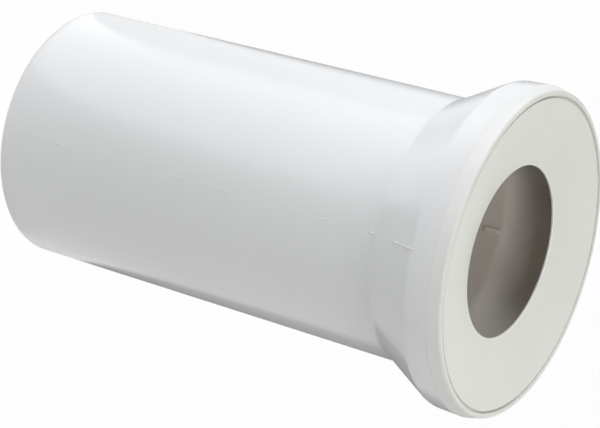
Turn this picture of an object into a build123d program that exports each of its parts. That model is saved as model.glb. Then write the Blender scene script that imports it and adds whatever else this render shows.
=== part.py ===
from build123d import *
import math
import os

os.makedirs("parts", exist_ok=True)

# A straight connector between a toilet pan and a soil pipe. It stands on its spigot,
# the axis is +Z, the origin is the centre of the open spigot end, and lengths are in
# millimetres. The mould parts in the XZ plane.

# Moulded pipe
pipe_od = 110.0
wall = 3.2
spigot_length = 187.0
flare_height = 22.4
collar_od = 135.4
band_height = 10.1
band_draft = 0.5
spigot_chamfer = 0.7
collar_chamfer = 0.3

# Stop rib inside the pipe, against the foot of the flare
rib_width = 2.2
rib_height = 1.8
rib_length = 8.6
rib_crest = 4.4
rib_root = 0.6

# Snap groove in the collar's inner wall
groove_depth = 0.9
groove_height = 2.6
groove_drop = 3.2
groove_clearance = 0.1

# Rubber seal: a rim that caps the collar, a skirt inside it and a dished lip
rim_height = 5.5
rim_shoulder_height = 2.7
rim_shoulder_taper = 0.7
rim_taper = 1.9
rim_crest_chamfer = 0.6
skirt_thickness = 2.6
skirt_depth = 8.4
skirt_lead = 0.8
seam_inset = 1.0
seam_width = 1.4
seam_depth = 0.7
face_drop = 0.3
lip_bore = 70.4
lip_dish = 5.9
lip_thickness = 2.4
lip_front_chamfer = 0.7
lip_back_chamfer = 0.3
lip_root_chamfer = 1.8

# Places that follow from the sizes above
pipe_r = pipe_od / 2
bore_r = pipe_r - wall
collar_r = collar_od / 2
socket_r = collar_r - band_draft - wall
flare_top = spigot_length + flare_height
collar_top = flare_top + band_height
flare_top_r = collar_r - band_draft
flare_angle = math.atan2(flare_top_r - pipe_r, flare_height)
# An even wall turns its inner corners a little above its outer ones
inner_shift = wall * math.tan(flare_angle / 2)
bore_top = spigot_length + inner_shift
socket_floor = flare_top + inner_shift
groove_top = collar_top - groove_drop
groove_bottom = groove_top - groove_height

rim_top = collar_top + rim_height
rim_shoulder_r = collar_r - rim_shoulder_taper
rim_crest_r = collar_r - rim_taper
seam_outer_r = rim_crest_r - seam_inset
seam_inner_r = seam_outer_r - seam_width
face_top = rim_top - face_drop
lip_bore_r = lip_bore / 2
lip_front = face_top - lip_dish
skirt_inner_r = socket_r - skirt_thickness
skirt_bottom = collar_top - skirt_depth
dish_slope = lip_dish / (seam_inner_r - lip_bore_r)
lip_root = lip_front - lip_thickness + dish_slope * (skirt_inner_r - lip_bore_r)


def corner(half_section, radius, height):
    """The corner of a half section nearest to a radius and a height."""
    return half_section.vertices().sort_by_distance((radius, height))[0]


# Pipe, flare and collar: one moulding with an even wall, turned about the axis
with BuildPart() as pipe_body:
    with BuildSketch(Plane.XZ) as body_section:
        with BuildLine():
            Polyline(
                (pipe_r, 0),
                (pipe_r, spigot_length),
                (flare_top_r, flare_top),
                (collar_r, collar_top),
                (socket_r, collar_top),
                (socket_r, groove_top),
                (socket_r + groove_depth, groove_top - groove_depth),
                (socket_r + groove_depth, groove_bottom + groove_depth),
                (socket_r, groove_bottom),
                (socket_r, socket_floor),
                (bore_r, bore_top),
                (bore_r, 0),
                close=True,
            )
        make_face()
        chamfer(corner(body_section, pipe_r, 0), spigot_chamfer)
        chamfer(corner(body_section, bore_r, 0), spigot_chamfer)
        chamfer(corner(body_section, collar_r, collar_top), collar_chamfer)
    revolve(axis=Axis.Z)

    # The rib ramps up from the bore and ends square, facing the collar
    with BuildSketch(Plane.XZ):
        with BuildLine():
            Polyline(
                (-bore_r - rib_root, bore_top - rib_length),
                (-bore_r, bore_top - rib_length),
                (-bore_r + rib_height, bore_top - rib_crest),
                (-bore_r + rib_height, bore_top),
                (-bore_r - rib_root, bore_top),
                close=True,
            )
        make_face()
    extrude(amount=rib_width / 2, both=True)

pipe_body.part.label = "pipe_body"
export_step(pipe_body.part, "parts/pipe_body.step")


# Seal: its rim sits on the collar's end, its skirt and bead snap into the collar, and
# a dished lip closes in on the hole that grips the pan's outlet
with BuildPart() as lip_seal:
    with BuildSketch(Plane.XZ) as seal_section:
        bead_r = socket_r + groove_depth - groove_clearance
        bead_top = groove_top - groove_clearance
        bead_bottom = groove_bottom + groove_clearance
        bead_bevel = groove_depth - groove_clearance
        with BuildLine():
            Polyline(
                (collar_r, collar_top),
                (rim_shoulder_r, collar_top + rim_shoulder_height),
                (rim_crest_r, rim_top),
                (seam_outer_r, rim_top),
                (seam_outer_r - seam_depth, rim_top - seam_depth),
                (seam_inner_r + seam_depth - face_drop, rim_top - seam_depth),
                (seam_inner_r, face_top),
                (lip_bore_r, lip_front),
                (lip_bore_r, lip_front - lip_thickness),
                (skirt_inner_r, lip_root),
                (skirt_inner_r, skirt_bottom),
                (socket_r - skirt_lead, skirt_bottom),
                (socket_r, skirt_bottom + skirt_lead),
                (socket_r, bead_bottom),
                (bead_r, bead_bottom + bead_bevel),
                (bead_r, bead_top - bead_bevel),
                (socket_r, bead_top),
                (socket_r, collar_top),
                close=True,
            )
        make_face()
        chamfer(corner(seal_section, rim_crest_r, rim_top), rim_crest_chamfer)
        chamfer(corner(seal_section, lip_bore_r, lip_front), lip_front_chamfer)
        chamfer(corner(seal_section, lip_bore_r, lip_front - lip_thickness), lip_back_chamfer)
        chamfer(corner(seal_section, skirt_inner_r, lip_root), lip_root_chamfer)
    revolve(axis=Axis.Z)

lip_seal.part.label = "lip_seal"
export_step(lip_seal.part, "parts/lip_seal.step")
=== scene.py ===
"""The looks of a straight toilet pan connector: a moulded plastic pipe and its rubber lip seal.

The connector stands on its open spigot end, its axis is +Z, and Blender works in metres. The
object's sizes are in millimetres, as a maker's drawing has them, and become metres where a mesh
is made. The studio's places and sizes are in metres, apart from the camera's place, in
millimetres.
"""

import logging
import math
from dataclasses import dataclass
from enum import Enum

import bmesh
import bpy
from mathutils import Matrix, Vector

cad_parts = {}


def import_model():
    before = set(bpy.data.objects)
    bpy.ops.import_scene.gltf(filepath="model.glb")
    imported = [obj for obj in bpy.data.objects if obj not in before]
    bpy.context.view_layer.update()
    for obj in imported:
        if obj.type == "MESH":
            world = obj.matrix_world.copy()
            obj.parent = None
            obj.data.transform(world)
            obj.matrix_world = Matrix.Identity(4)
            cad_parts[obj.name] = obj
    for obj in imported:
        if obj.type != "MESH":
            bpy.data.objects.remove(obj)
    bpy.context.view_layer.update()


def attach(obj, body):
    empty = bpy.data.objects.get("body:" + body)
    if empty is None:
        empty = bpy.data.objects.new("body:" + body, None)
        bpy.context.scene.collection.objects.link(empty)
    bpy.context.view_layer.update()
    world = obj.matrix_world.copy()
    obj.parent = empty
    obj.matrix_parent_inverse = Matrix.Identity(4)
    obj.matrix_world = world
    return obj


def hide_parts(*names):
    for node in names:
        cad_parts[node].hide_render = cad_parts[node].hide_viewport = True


MM = 0.001
WELD_DISTANCE = 1e-7
SHARP_ANGLE = math.radians(35.0)
LOG = logging.getLogger("pan_connector")

Pair = tuple[float, float]
Triple = tuple[float, float, float]


class Slot(Enum):
    """The record's material slots."""

    PLASTIC = "white_plastic"
    RUBBER = "cream_rubber"


class Steps(Enum):
    """How finely a rounding is stepped, from a few steps to many."""

    COARSE = 2
    PLAIN = 3
    EVEN = 4
    FINE = 6
    FINEST = 8


def linear(hex_colour: str) -> tuple[float, float, float, float]:
    """Turns an sRGB hex colour into the linear colour that Blender's sockets take.

    Args:
        hex_colour: A colour such as "#EDEEEE".

    Returns:
        Linear red, green, blue and an alpha of 1.
    """
    channels = [int(hex_colour[i : i + 2], 16) / 255 for i in (1, 3, 5)]
    red, green, blue = (
        c / 12.92 if c <= 0.04045 else ((c + 0.055) / 1.055) ** 2.4 for c in channels
    )
    return red, green, blue, 1.0


def add_node(
    tree: bpy.types.NodeTree,
    kind: str,
    settings: dict | None = None,
    sockets: dict | None = None,
    links: dict | None = None,
) -> bpy.types.Node:
    """Adds one node, with its settings and everything that feeds it.

    Args:
        tree: The node tree that gets the node.
        kind: The node's type, such as "ShaderNodeTexNoise".
        settings: Attributes of the node itself.
        sockets: Values of input sockets, by name or by number.
        links: Output sockets that feed input sockets, by name or by number.

    Returns:
        The new node.
    """
    node = tree.nodes.new(kind)
    for name, value in (settings or {}).items():
        setattr(node, name, value)
    for name, value in (sockets or {}).items():
        node.inputs[name].default_value = value
    for name, source in (links or {}).items():
        tree.links.new(source, node.inputs[name])
    return node


def new_material(name: str) -> bpy.types.Material:
    """Makes a material whose node tree is empty.

    Args:
        name: The material's name.

    Returns:
        The material.
    """
    material = bpy.data.materials.new(name)
    material.use_nodes = True
    material.node_tree.nodes.clear()
    return material


@dataclass(frozen=True)
class MouldedPlastic:
    """White ABS from a polished injection mould.

    It gives the eye a clean, nearly neutral white with a satin gloss. The skin is very slightly
    uneven where the melt flowed and shrank, which softens and bends the edges of reflections.
    """

    name: str = "abs_injection_moulded"
    colour: str = "#EDEEEE"
    cloud_colour: str = "#E7E8E8"
    roughness: float = 0.2
    roughness_spread: float = 0.05
    ior: float = 1.53
    flow_size_mm: float = 38.0
    flow_stretch: float = 0.3
    flow_height_mm: float = 0.05
    skin_size_mm: float = 1.6
    skin_height_mm: float = 0.0035

    def build(self) -> bpy.types.Material:
        """Makes the material.

        Returns:
            The material, which reads Object coordinates.
        """
        material = new_material(self.name)
        tree = material.node_tree
        place = add_node(tree, "ShaderNodeTexCoord").outputs["Object"]
        # The melt flows along the pipe, so its unevenness is stretched along the axis
        along = add_node(
            tree,
            "ShaderNodeMapping",
            sockets={"Scale": (1.0, 1.0, self.flow_stretch)},
            links={"Vector": place},
        ).outputs["Vector"]
        flow = add_node(
            tree,
            "ShaderNodeTexNoise",
            sockets={"Scale": 1 / (self.flow_size_mm * MM), "Detail": 2.0, "Roughness": 0.45},
            links={"Vector": along},
        ).outputs["Fac"]
        # The mould's polish is far finer than a pixel, so it is drawn at 1.6 mm to show at all
        skin = add_node(
            tree,
            "ShaderNodeTexNoise",
            sockets={"Scale": 1 / (self.skin_size_mm * MM), "Detail": 3.0, "Roughness": 0.55},
            links={"Vector": place},
        ).outputs["Fac"]
        colour = add_node(
            tree,
            "ShaderNodeMix",
            {"data_type": "RGBA"},
            {"A": linear(self.colour), "B": linear(self.cloud_colour)},
            {"Factor": flow},
        ).outputs["Result"]
        roughness = add_node(
            tree,
            "ShaderNodeMapRange",
            sockets={
                "To Min": self.roughness - self.roughness_spread,
                "To Max": self.roughness + self.roughness_spread,
            },
            links={"Value": flow},
        ).outputs["Result"]
        flow_bump = add_node(
            tree,
            "ShaderNodeBump",
            sockets={"Strength": 1.0, "Distance": self.flow_height_mm * MM},
            links={"Height": flow},
        ).outputs["Normal"]
        skin_bump = add_node(
            tree,
            "ShaderNodeBump",
            sockets={"Strength": 1.0, "Distance": self.skin_height_mm * MM},
            links={"Height": skin, "Normal": flow_bump},
        ).outputs["Normal"]
        shader = add_node(
            tree,
            "ShaderNodeBsdfPrincipled",
            sockets={"IOR": self.ior},
            links={"Base Color": colour, "Roughness": roughness, "Normal": skin_bump},
        )
        add_node(tree, "ShaderNodeOutputMaterial", links={"Surface": shader.outputs["BSDF"]})
        return material


@dataclass(frozen=True)
class SealRubber:
    """Pale grey thermoplastic rubber, moulded matt.

    It gives the eye a dull, slightly warm grey with no clear reflections. The skin is finely
    grained from the mould and takes up a little dust, so its tone drifts gently.
    """

    name: str = "tpe_rubber_moulded_matt"
    colour: str = "#E3E5DD"
    dust_colour: str = "#DCDDD5"
    roughness: float = 0.42
    ior: float = 1.5
    drift_size_mm: float = 26.0
    grain_size_mm: float = 0.9
    grain_height_mm: float = 0.012

    def build(self) -> bpy.types.Material:
        """Makes the material.

        Returns:
            The material, which reads Object coordinates.
        """
        material = new_material(self.name)
        tree = material.node_tree
        place = add_node(tree, "ShaderNodeTexCoord").outputs["Object"]
        drift = add_node(
            tree,
            "ShaderNodeTexNoise",
            sockets={"Scale": 1 / (self.drift_size_mm * MM), "Detail": 3.0, "Roughness": 0.5},
            links={"Vector": place},
        ).outputs["Fac"]
        # The mould's spark grain is about 0.1 mm, too fine for the render, so it is drawn at 0.9 mm
        grain = add_node(
            tree,
            "ShaderNodeTexNoise",
            sockets={"Scale": 1 / (self.grain_size_mm * MM), "Detail": 2.0, "Roughness": 0.6},
            links={"Vector": place},
        ).outputs["Fac"]
        colour = add_node(
            tree,
            "ShaderNodeMix",
            {"data_type": "RGBA"},
            {"A": linear(self.colour), "B": linear(self.dust_colour)},
            {"Factor": drift},
        ).outputs["Result"]
        bump = add_node(
            tree,
            "ShaderNodeBump",
            sockets={"Strength": 1.0, "Distance": self.grain_height_mm * MM},
            links={"Height": grain},
        ).outputs["Normal"]
        shader = add_node(
            tree,
            "ShaderNodeBsdfPrincipled",
            sockets={"IOR": self.ior, "Roughness": self.roughness},
            links={"Base Color": colour, "Normal": bump},
        )
        add_node(tree, "ShaderNodeOutputMaterial", links={"Surface": shader.outputs["BSDF"]})
        return material


BODY_PLASTIC = MouldedPlastic()
# Moulded against the core, the bore is duller than the outside; its warmer tint is painted warm
# shade, for the brownish shade inside the pipe
BORE_PLASTIC = MouldedPlastic(
    name="abs_injection_moulded_bore_painted_warm_shade", colour="#F0EAE2", cloud_colour="#EAE3DA", roughness=0.38
)
# The rib is as glossy as the outside; its pale warm colour is painted light, for the light that
# catches the rib inside the bore
RIB_PLASTIC = MouldedPlastic(
    name="abs_injection_moulded_rib_painted_light", colour="#FBF4EE", cloud_colour="#F6EEE8"
)
FACE_RUBBER = SealRubber()
# The rim is whiter than the face, and its sheen is broader and softer
RIM_RUBBER = SealRubber(
    name="tpe_rubber_moulded_satin", colour="#ECECEA", dust_colour="#E6E6E3", roughness=0.5
)
# The lip's edge is smoother than its face, and its paler colour is a painted highlight along the
# hole's edge
EDGE_RUBBER = SealRubber(
    name="tpe_rubber_smooth_edge_painted_highlight", colour="#FAF6F3", dust_colour="#F6F1ED", roughness=0.28
)


@dataclass(frozen=True)
class Corner:
    """One corner of a turned half section, in millimetres.

    Attributes:
        radius: Its distance from the axis.
        height: Its height above the spigot end.
        rounding: How far along each side its rounding starts, or 0 for a sharp corner.
        steps: How many steps the rounding has.
    """

    radius: float
    height: float
    rounding: float = 0.0
    steps: Steps = Steps.PLAIN


class Turning:
    """Turns a half section about the axis into a closed mesh."""

    STEPS = 360

    @staticmethod
    def section(mesh: bmesh.types.BMesh, corners: list[Corner]) -> None:
        """Draws the closed half section as one face in the XZ plane and rounds its corners.

        Args:
            mesh: The mesh that gets the half section.
            corners: The half section's corners, in order round it.
        """
        points = [mesh.verts.new((c.radius * MM, 0.0, c.height * MM)) for c in corners]
        mesh.faces.new(points)
        for corner, point in zip(corners, points):
            if corner.rounding:
                bmesh.ops.bevel(
                    mesh,
                    geom=[point],
                    affect="VERTICES",
                    offset=corner.rounding * MM,
                    offset_type="OFFSET",
                    segments=corner.steps.value,
                    profile=0.5,
                    material=-1,
                )

    @classmethod
    def solid(cls, corners: list[Corner]) -> bmesh.types.BMesh:
        """Makes the whole turned solid.

        Args:
            corners: The half section's corners, in order round it.

        Returns:
            A closed mesh with its faces pointing outwards.
        """
        mesh = bmesh.new()
        cls.section(mesh, corners)
        bmesh.ops.delete(mesh, geom=mesh.faces[:], context="FACES_ONLY")
        bmesh.ops.spin(
            mesh,
            geom=mesh.verts[:] + mesh.edges[:],
            axis=(0.0, 0.0, 1.0),
            cent=(0.0, 0.0, 0.0),
            angle=math.tau,
            steps=cls.STEPS,
            use_merge=True,
        )
        bmesh.ops.remove_doubles(mesh, verts=mesh.verts[:], dist=WELD_DISTANCE)
        bmesh.ops.recalc_face_normals(mesh, faces=mesh.faces[:])
        return mesh


def soften(
    mesh: bmesh.types.BMesh, edges: list[bmesh.types.BMEdge], offset: float, steps: Steps
) -> None:
    """Rounds some edges of a mesh.

    Args:
        mesh: The mesh.
        edges: The edges to round.
        offset: How far from each edge its rounding starts, in millimetres.
        steps: How many steps the rounding has.
    """
    bmesh.ops.bevel(
        mesh,
        geom=edges,
        affect="EDGES",
        offset=offset * MM,
        offset_type="OFFSET",
        segments=steps.value,
        profile=0.5,
        material=-1,
    )


def finish_piece(
    mesh: bmesh.types.BMesh, name: str, materials: list[bpy.types.Material]
) -> bpy.types.Object:
    """Turns a bmesh into a piece of the object that rides on its one body.

    Args:
        mesh: The finished mesh, which is freed.
        name: The piece's name.
        materials: Its materials, in the order of its faces' material numbers.

    Returns:
        The piece, at the origin.
    """
    data = bpy.data.meshes.new(name)
    mesh.to_mesh(data)
    mesh.free()
    for material in materials:
        data.materials.append(material)
    data.shade_smooth()
    data.set_sharp_from_angle(angle=SHARP_ANGLE)
    piece = bpy.data.objects.new(name, data)
    bpy.context.scene.collection.objects.link(piece)
    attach(piece, "root")
    return piece


@dataclass
class PipeBody:
    """The moulded pipe, flare and collar, with the stop rib inside and the parting line outside.

    Attributes:
        line_dashes: The stretches of the parting line, each as foot, top and how far it rises.
    """

    finish: MouldedPlastic = BODY_PLASTIC
    bore_finish: MouldedPlastic = BORE_PLASTIC
    rib_finish: MouldedPlastic = RIB_PLASTIC
    pipe_r: float = 55.0
    wall: float = 3.2
    spigot_length: float = 187.0
    flare_height: float = 22.4
    collar_r: float = 67.7
    band_height: float = 10.1
    band_draft: float = 0.5
    edge_round: float = 0.7
    flare_foot_round: float = 1.3
    flare_top_round: float = 0.7
    collar_edge_round: float = 0.08
    groove_depth: float = 0.9
    groove_height: float = 2.6
    groove_drop: float = 3.2
    rib_width: float = 2.2
    rib_height: float = 1.8
    rib_length: float = 8.6
    rib_crest: float = 6.6
    rib_root: float = 0.6
    rib_round: float = 0.3
    rib_clear: float = 0.01
    line_width: float = 0.5
    line_round: float = 0.12
    line_dashes: tuple[Triple, ...] = (
        (5.0, 13.0, 0.26),
        (18.0, 22.0, 0.24),
        (27.0, 34.0, 0.2),
        (58.0, 60.4, 0.42),
        (91.0, 95.0, 0.2),
        (112.0, 119.0, 0.2),
        (161.0, 164.0, 0.26),
        (184.6, 186.8, 0.42),
        (197.5, 203.0, 0.32),
        (204.0, 209.2, 0.36),
        (209.6, 211.6, 0.3),
    )

    @property
    def bore_r(self) -> float:
        """The pipe's inner radius."""
        return self.pipe_r - self.wall

    @property
    def flare_r(self) -> float:
        """The outer radius where the flare meets the collar's band."""
        return self.collar_r - self.band_draft

    @property
    def flare_top(self) -> float:
        """The height where the flare meets the collar's band."""
        return self.spigot_length + self.flare_height

    @property
    def collar_top(self) -> float:
        """The height of the plastic's end, under the rubber."""
        return self.flare_top + self.band_height

    @property
    def socket_r(self) -> float:
        """The collar's inner radius."""
        return self.flare_r - self.wall

    @property
    def inner_shift(self) -> float:
        """How far the inner corners of the even wall sit above the outer ones."""
        slope = math.atan2(self.flare_r - self.pipe_r, self.flare_height)
        return self.wall * math.tan(slope / 2)

    @property
    def bore_top(self) -> float:
        """The height where the bore starts to flare."""
        return self.spigot_length + self.inner_shift

    def corners(self) -> list[Corner]:
        """The half section, from the spigot's outer edge upwards.

        Returns:
            Its corners in order.
        """
        socket_foot = self.flare_top + self.inner_shift
        groove_top = self.collar_top - self.groove_drop
        groove_foot = groove_top - self.groove_height
        deep = self.groove_depth
        return [
            Corner(self.pipe_r, 0.0, self.edge_round, Steps.EVEN),
            Corner(self.pipe_r, self.spigot_length, self.flare_foot_round, Steps.FINEST),
            Corner(self.flare_r, self.flare_top, self.flare_top_round, Steps.FINE),
            Corner(self.collar_r, self.collar_top, self.collar_edge_round),
            Corner(self.socket_r, self.collar_top),
            Corner(self.socket_r, groove_top),
            Corner(self.socket_r + deep, groove_top - deep),
            Corner(self.socket_r + deep, groove_foot + deep),
            Corner(self.socket_r, groove_foot),
            Corner(self.socket_r, socket_foot, self.flare_top_round, Steps.FINE),
            Corner(self.bore_r, self.bore_top, self.flare_foot_round, Steps.FINE),
            Corner(self.bore_r, 0.0, self.edge_round, Steps.EVEN),
        ]

    def build(self) -> list[bpy.types.Object]:
        """Makes the pipe body.

        Returns:
            The pieces made.
        """
        plastic = self.finish.build()
        mesh = Turning.solid(self.corners())
        for face in mesh.faces:
            middle = face.calc_center_median()
            # Material 1 is the bore's, with its painted warm shade, for the faces that look towards
            # the axis
            face.material_index = int(face.normal.xy.dot(middle.xy) < 0.0)
        bore_plastic = self.bore_finish.build()
        shell = finish_piece(mesh, "pipe_shell", [plastic, bore_plastic])
        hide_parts("pipe_body")
        rib = finish_piece(self.rib(), "stop_rib", [self.rib_finish.build()])
        line = finish_piece(self.parting_line(), "parting_line", [plastic])
        return [shell, rib, line]

    def outer_r(self, height: float) -> float:
        """Finds the outer radius on the pipe, the flare or the band.

        Args:
            height: The height above the spigot end.

        Returns:
            The radius there.
        """
        flare = min(1.0, max(0.0, (height - self.spigot_length) / self.flare_height))
        band = max(0.0, (height - self.flare_top) / self.band_height)
        return self.pipe_r + flare * (self.flare_r - self.pipe_r) + band * self.band_draft

    def parting_line(self) -> bmesh.types.BMesh:
        """Makes the faint broken ridge that the mould's halves leave where they close.

        Returns:
            One closed bar per stretch of ridge, sunk into the wall by half its thickness.
        """
        line = bmesh.new()
        for foot, top, rise in self.line_dashes:
            spread = self.outer_r(top) - self.outer_r(foot)
            size = (2 * rise, self.line_width, math.hypot(spread, top - foot))
            lean = Matrix.Rotation(math.atan2(spread, top - foot), 3, "Y")
            middle = (foot + top) / 2
            bar = bmesh.ops.create_cube(line, size=1.0)["verts"]
            bmesh.ops.scale(line, verts=bar, vec=[side * MM for side in size])
            bmesh.ops.rotate(line, verts=bar, matrix=lean)
            bmesh.ops.translate(line, verts=bar, vec=(self.outer_r(middle) * MM, 0.0, middle * MM))
        soften(line, line.edges[:], self.line_round, Steps.COARSE)
        return line

    def rib(self) -> bmesh.types.BMesh:
        """Makes the stop rib, a ramp from the bore that ends square towards the collar.

        Returns:
            A closed mesh with its inner edges softened.
        """
        mesh = bmesh.new()
        wall, crest = -self.bore_r, -self.bore_r + self.rib_height
        foot, top = self.bore_top - self.rib_length, self.bore_top
        outline = [
            (wall - self.rib_root, foot),
            (wall, foot),
            (crest, top - self.rib_crest),
            (crest, top),
            (wall - self.rib_root, top),
        ]
        side = mesh.faces.new(
            [mesh.verts.new((x * MM, -self.rib_width / 2 * MM, z * MM)) for x, z in outline]
        )
        grown = bmesh.ops.extrude_face_region(mesh, geom=[side])
        bmesh.ops.translate(
            mesh,
            verts=[v for v in grown["geom"] if isinstance(v, bmesh.types.BMVert)],
            vec=(0.0, self.rib_width * MM, 0.0),
        )
        bmesh.ops.recalc_face_normals(mesh, faces=mesh.faces[:])
        # Only edges that stand clear of the wall are rounded
        clear = (wall + self.rib_clear) * MM
        edges = [e for e in mesh.edges if min(v.co.x for v in e.verts) > clear]
        soften(mesh, edges, self.rib_round, Steps.PLAIN)
        return mesh


@dataclass
class LipSeal:
    """The rubber seal: a rim that caps the collar, a dished lip with a round hole, and a skirt.

    Attributes:
        rim_margin: How far inside the crest's radius the rim's finish starts.
        fit: The clearance between the bead and the collar's groove.
    """

    body: PipeBody
    finish: SealRubber = FACE_RUBBER
    rim_finish: SealRubber = RIM_RUBBER
    edge_finish: SealRubber = EDGE_RUBBER
    rim_height: float = 5.5
    rim_foot_round: float = 0.08
    shoulder_height: float = 2.7
    shoulder_taper: float = 0.7
    shoulder_round: float = 2.0
    rim_taper: float = 1.4
    rim_margin: float = 0.1
    crest_round: float = 0.9
    seam_inset: float = 1.9
    seam_width: float = 1.0
    seam_depth: float = 1.5
    seam_slope: float = 0.12
    seam_outer_round: float = 0.25
    seam_inner_round: float = 0.3
    face_drop: float = 0.3
    lip_bore_r: float = 35.2
    lip_dish: float = 5.9
    lip_thickness: float = 2.4
    lip_round: float = 0.35
    tip_thickness: float = 0.95
    tip_run: float = 4.0
    tip_round: float = 0.15
    tip_root_round: float = 0.8
    lip_root_round: float = 1.8
    skirt_thickness: float = 2.6
    skirt_depth: float = 8.4
    skirt_lead: float = 0.8
    skirt_round: float = 0.4
    fit: float = 0.1

    def corners(self) -> list[Corner]:
        """The half section, from the rim's outer foot round to the skirt.

        Returns:
            Its corners in order.
        """
        body = self.body
        foot, top = body.collar_top, body.collar_top + self.rim_height
        rim_r, socket_r = body.collar_r, body.socket_r
        crest_r = rim_r - self.rim_taper
        shoulder_r, shoulder = rim_r - self.shoulder_taper, foot + self.shoulder_height
        seam_out = crest_r - self.seam_inset
        seam_in = seam_out - self.seam_width
        seam_floor = top - self.seam_depth
        face_top = top - self.face_drop
        hole_r = self.lip_bore_r
        lip_front = face_top - self.lip_dish
        lip_back = lip_front - self.lip_thickness
        # The lip's underside rises outwards as steeply as its face
        slope = self.lip_dish / (seam_in - hole_r)
        skirt_r = socket_r - self.skirt_thickness
        lip_root = lip_back + slope * (skirt_r - hole_r)
        tip_root = lip_back + slope * self.tip_run
        skirt_foot = foot - self.skirt_depth
        bead = body.groove_depth - self.fit
        bead_top = foot - body.groove_drop - self.fit
        bead_foot = bead_top - body.groove_height + 2 * self.fit
        return [
            Corner(rim_r, foot, self.rim_foot_round, Steps.COARSE),
            Corner(shoulder_r, shoulder, self.shoulder_round, Steps.FINEST),
            Corner(crest_r, top, self.crest_round, Steps.FINE),
            Corner(seam_out, top, self.seam_outer_round),
            Corner(seam_out - self.seam_slope, seam_floor),
            Corner(seam_in + self.seam_slope, seam_floor),
            Corner(seam_in, face_top, self.seam_inner_round),
            Corner(hole_r, lip_front, self.lip_round, Steps.FINE),
            Corner(hole_r, lip_front - self.tip_thickness, self.tip_round),
            Corner(hole_r + self.tip_run, tip_root, self.tip_root_round, Steps.EVEN),
            Corner(skirt_r, lip_root, self.lip_root_round, Steps.FINE),
            Corner(skirt_r, skirt_foot, self.skirt_round, Steps.COARSE),
            Corner(socket_r - self.skirt_lead, skirt_foot),
            Corner(socket_r, skirt_foot + self.skirt_lead),
            Corner(socket_r, bead_foot),
            Corner(socket_r + bead, bead_foot + bead),
            Corner(socket_r + bead, bead_top - bead),
            Corner(socket_r, bead_top),
            Corner(socket_r, foot),
        ]

    def build(self) -> list[bpy.types.Object]:
        """Makes the seal.

        Returns:
            The pieces made.
        """
        mesh = Turning.solid(self.corners())
        rim_r = (self.body.collar_r - self.rim_taper - self.rim_margin) * MM
        edge_r = (self.lip_bore_r + self.lip_round) * MM
        for face in mesh.faces:
            middle = face.calc_center_median()
            radius = math.hypot(middle.x, middle.y)
            # Material 1 is the rim's, outside the crest, and 2 is the edge's painted highlight,
            # round the hole
            if radius > rim_r and middle.z > self.body.collar_top * MM:
                face.material_index = 1
            elif radius < edge_r:
                face.material_index = 2
        finishes = (self.finish, self.rim_finish, self.edge_finish)
        seal = finish_piece(mesh, "seal", [finish.build() for finish in finishes])
        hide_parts("lip_seal")
        return [seal]


@dataclass(frozen=True)
class Softbox:
    """One rectangular soft lamp that the camera doesn't see.

    Attributes:
        name: Its name.
        place: Where it hangs.
        aim: The point it faces.
        size: Its width and height.
        power: Its power in watts.
        colour: The colour of its light.
        lights_surfaces: Whether it lights surfaces, or only shows in their gloss.
    """

    name: str
    place: Triple
    aim: Triple
    size: Pair
    power: float
    colour: Triple = (1.0, 1.0, 1.0)
    lights_surfaces: bool = True

    def hang(self) -> bpy.types.Object:
        """Hangs the lamp.

        Returns:
            The lamp's object.
        """
        lamp = bpy.data.lights.new(self.name, "AREA")
        lamp.shape = "RECTANGLE"
        lamp.size, lamp.size_y = self.size
        lamp.energy = self.power
        lamp.color = self.colour
        box = bpy.data.objects.new(self.name, lamp)
        box.location = self.place
        facing = Vector(self.aim) - Vector(self.place)
        box.rotation_euler = facing.to_track_quat("-Z", "Y").to_euler()
        box.visible_camera = False
        box.visible_diffuse = self.lights_surfaces
        bpy.context.scene.collection.objects.link(box)
        return box


LOW_MIDDLE = (0.0, 0.0, 0.12)
HIGH_MIDDLE = (0.0, 0.0, 0.2)
COOL_LIGHT = (0.95, 0.965, 1.0)
WARM_LIGHT = (1.0, 0.997, 0.99)


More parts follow.
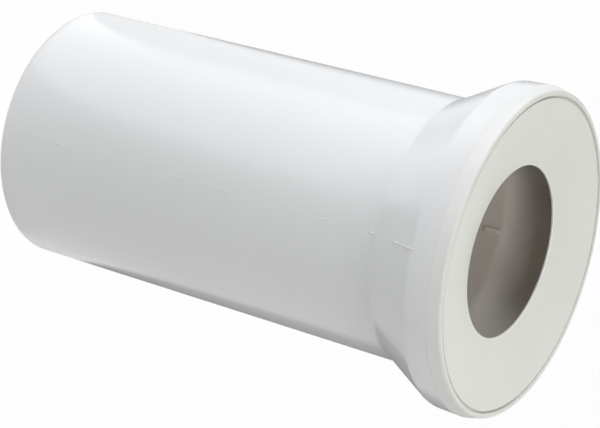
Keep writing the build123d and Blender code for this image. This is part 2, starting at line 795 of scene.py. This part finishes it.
@dataclass
class Studio:
    """A pale floor, soft lamps and the camera at the photograph's angle.

    Attributes:
        floor_white: How much of the floor that is seen is plain white, and not lit paper.
        flag_side: The side of the grey card that darkens the pipe's outline.
        card_size: The width and length of the white card that mirrors in the pipe.
    """

    softboxes: tuple[Softbox, ...] = (
        Softbox("key_high", (0.2, -1.12, 0.92), LOW_MIDDLE, (1.1, 0.9), 6.2, COOL_LIGHT),
        Softbox("key_low", (0.2, -1.2, 0.32), LOW_MIDDLE, (1.1, 0.6), 6.9, COOL_LIGHT),
        Softbox("overhead", (0.35, 0.6, 1.5), HIGH_MIDDLE, (1.5, 0.8), 12.7, WARM_LIGHT),
        Softbox("front", (0.9, -0.1, 1.15), HIGH_MIDDLE, (0.5, 0.5), 2.3),
        Softbox(
            "back", (-1.1, 0.45, 0.62), HIGH_MIDDLE, (1.2, 1.1), 5.6, lights_surfaces=False
        ),
    )
    world_strength: float = 0.12
    floor_size: float = 12.0
    floor_colour: str = "#EAEAEA"
    floor_white: float = 0.97
    flag_side: float = 0.6
    flag_place: Triple = (-0.383, 0.102, 0.001)
    flag_turn: float = math.radians(30.0)
    flag_colour: str = "#929292"
    card_size: Pair = (0.3, 0.58)
    card_place: Triple = (0.095, -0.341, 0.002)
    card_turn: float = math.radians(-14.0)
    card_power: float = 0.5
    camera_place_mm: Triple = (728.8, -95.8, 553.4)
    camera_forward: Triple = (-0.8531, 0.1220, -0.5073)
    camera_up: Triple = (0.0011, -0.9718, -0.2356)
    lens: float = 122.1
    sensor_width: float = 36.0
    clip_range: Pair = (0.01, 50.0)

    def build(self) -> None:
        """Makes the whole studio."""
        self.floor()
        self.flag()
        self.world()
        for softbox in self.softboxes:
            softbox.hang()
        self.reflector()
        self.camera()
        bpy.context.scene.view_settings.view_transform = "Standard"

    @staticmethod
    def lay(
        mesh: bmesh.types.BMesh, name: str, material: bpy.types.Material
    ) -> bpy.types.Object:
        """Lays a sheet of the studio.

        Args:
            mesh: The sheet's mesh, which is freed.
            name: The sheet's name.
            material: Its material.

        Returns:
            The sheet.
        """
        data = bpy.data.meshes.new(name)
        mesh.to_mesh(data)
        mesh.free()
        data.materials.append(material)
        sheet = bpy.data.objects.new(name, data)
        bpy.context.scene.collection.objects.link(sheet)
        return sheet

    def floor(self) -> None:
        """Lays the floor, which is white to the camera and keeps a faint shadow."""
        material = new_material("white_paper_floor")
        tree = material.node_tree
        paper = add_node(
            tree, "ShaderNodeBsdfDiffuse", sockets={"Color": linear(self.floor_colour)}
        ).outputs["BSDF"]
        white = add_node(tree, "ShaderNodeEmission", sockets={"Strength": 1.0}).outputs["Emission"]
        path = add_node(tree, "ShaderNodeLightPath").outputs
        seen = path["Is Camera Ray"]
        for ray in ("Is Glossy Ray", "Is Transmission Ray"):
            seen = add_node(
                tree,
                "ShaderNodeMath",
                {"operation": "MAXIMUM"},
                links={0: seen, 1: path[ray]},
            ).outputs["Value"]
        share = add_node(
            tree, "ShaderNodeMath", {"operation": "MULTIPLY"}, {1: self.floor_white}, {0: seen}
        ).outputs["Value"]
        mix = add_node(tree, "ShaderNodeMixShader", links={"Fac": share, 1: paper, 2: white})
        add_node(tree, "ShaderNodeOutputMaterial", links={"Surface": mix.outputs["Shader"]})
        mesh = bmesh.new()
        bmesh.ops.create_grid(mesh, x_segments=1, y_segments=1, size=self.floor_size / 2)
        floor = self.lay(mesh, "floor", material)

    def flag(self) -> None:
        """Lays a grey card behind the connector, which only reflections see.

        It darkens the glancing reflections along the pipe's outline, as a photographer's flag
        does where a white object stands on white.
        """
        material = new_material("grey_card")
        tree = material.node_tree
        card = add_node(
            tree, "ShaderNodeBsdfDiffuse", sockets={"Color": linear(self.flag_colour)}
        ).outputs["BSDF"]
        add_node(tree, "ShaderNodeOutputMaterial", links={"Surface": card})
        mesh = bmesh.new()
        bmesh.ops.create_grid(
            mesh,
            x_segments=1,
            y_segments=1,
            size=self.flag_side / 2,
            matrix=Matrix.Rotation(self.flag_turn, 4, "Z"),
        )
        bmesh.ops.translate(mesh, vec=self.flag_place, verts=mesh.verts[:])
        flag = self.lay(mesh, "flag", material)
        flag.visible_camera = False
        flag.visible_diffuse = False
        flag.visible_transmission = False
        flag.visible_shadow = False

    def world(self) -> None:
        """Fills the studio with an even, pale light."""
        world = bpy.data.worlds.new("studio")
        bpy.context.scene.world = world
        world.use_nodes = True
        background = world.node_tree.nodes["Background"]
        background.inputs["Color"].default_value = (1.0, 1.0, 1.0, 1.0)
        background.inputs["Strength"].default_value = self.world_strength

    def reflector(self) -> None:
        """Lays a bright card on the floor, seen only where it mirrors in the pipe as a streak."""
        above = (*self.card_place[:2], 1.0)
        card = Softbox(
            "card",
            self.card_place,
            above,
            self.card_size,
            self.card_power,
            lights_surfaces=False,
        ).hang()
        card.rotation_euler = (math.pi, 0.0, self.card_turn)

    def camera(self) -> None:
        """Sets the camera at the photograph's viewing angle."""
        data = bpy.data.cameras.new("camera")
        data.lens = self.lens
        data.sensor_width = self.sensor_width
        data.clip_start, data.clip_end = self.clip_range
        forward = Vector(self.camera_forward).normalized()
        right = forward.cross(Vector(self.camera_up)).normalized()
        up = right.cross(forward)
        turn = Matrix((right, up, -forward)).transposed().to_4x4()
        camera = bpy.data.objects.new("camera", data)
        camera.matrix_world = Matrix.Translation(Vector(self.camera_place_mm) * MM) @ turn
        bpy.context.scene.collection.objects.link(camera)
        bpy.context.scene.camera = camera


def report(piece: bpy.types.Object) -> None:
    """Says what a finished piece holds."""
    LOG.info("%s: %d faces", piece.name, len(piece.data.polygons))


def main() -> None:
    """Builds the connector and its studio."""
    logging.basicConfig(level=logging.INFO, format="%(name)s %(message)s")
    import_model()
    body = PipeBody()
    for part in (body, LipSeal(body)):
        for piece in part.build():
            report(piece)
    Studio().build()
    bpy.context.view_layer.update()


if __name__ == "__main__":
    main()
